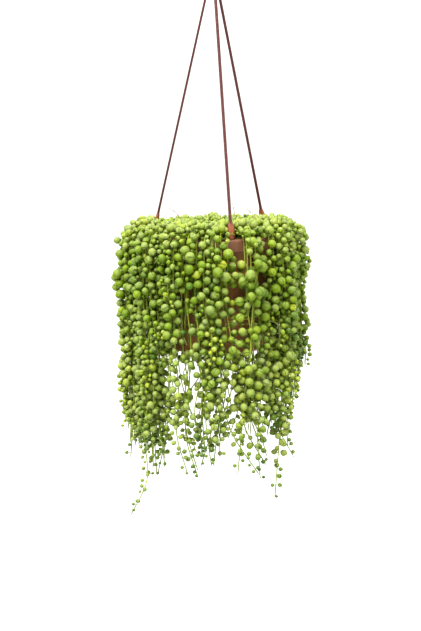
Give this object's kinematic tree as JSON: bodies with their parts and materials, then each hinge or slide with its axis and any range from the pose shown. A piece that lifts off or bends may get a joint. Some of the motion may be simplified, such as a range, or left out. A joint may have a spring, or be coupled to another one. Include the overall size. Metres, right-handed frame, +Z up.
{
  "type": "potted string of pearls",
  "caption": "Trailing succulent with round bead leaves in a moulded pot on a three-strand hanger with a crook hook.",
  "frame": {"origin": "the seat of the hook, the point inside its bend that rests on a rail", "axes": "+Z up along the pot's axis, -Y towards the hanger's front strand, +X to the right seen from the front"},
  "size_m": [0.1921, 0.1892, 0.5871],
  "materials": {
    "hanger_plastic": "satin",
    "pot_plastic": "satin",
    "potting_soil": "matte",
    "pearl_green": "satin"
  },
  "bodies": {
    "root": {"hanger_hook": "hanger_plastic", "hanger_strand_front": "hanger_plastic", "hanger_strand_right": "hanger_plastic", "hanger_strand_left": "hanger_plastic", "pot": "pot_plastic", "soil": "potting_soil", "stem_01": "pearl_green", "stem_02": "pearl_green", "stem_03": "pearl_green", "stem_04": "pearl_green", "stem_05": "pearl_green", "stem_06": "pearl_green", "stem_07": "pearl_green", "stem_08": "pearl_green", "stem_09": "pearl_green", "stem_10": "pearl_green", "stem_11": "pearl_green", "stem_12": "pearl_green", "stem_13": "pearl_green", "stem_14": "pearl_green", "stem_15": "pearl_green", "stem_16": "pearl_green", "stem_17": "pearl_green", "stem_18": "pearl_green", "stem_19": "pearl_green", "stem_20": "pearl_green", "stem_21": "pearl_green", "stem_22": "pearl_green", "stem_23": "pearl_green", "stem_24": "pearl_green", "stem_25": "pearl_green", "stem_26": "pearl_green", "stem_27": "pearl_green", "stem_28": "pearl_green", "stem_29": "pearl_green", "stem_30": "pearl_green", "stem_31": "pearl_green", "stem_32": "pearl_green", "stem_33": "pearl_green"}
  },
  "joints": []
}
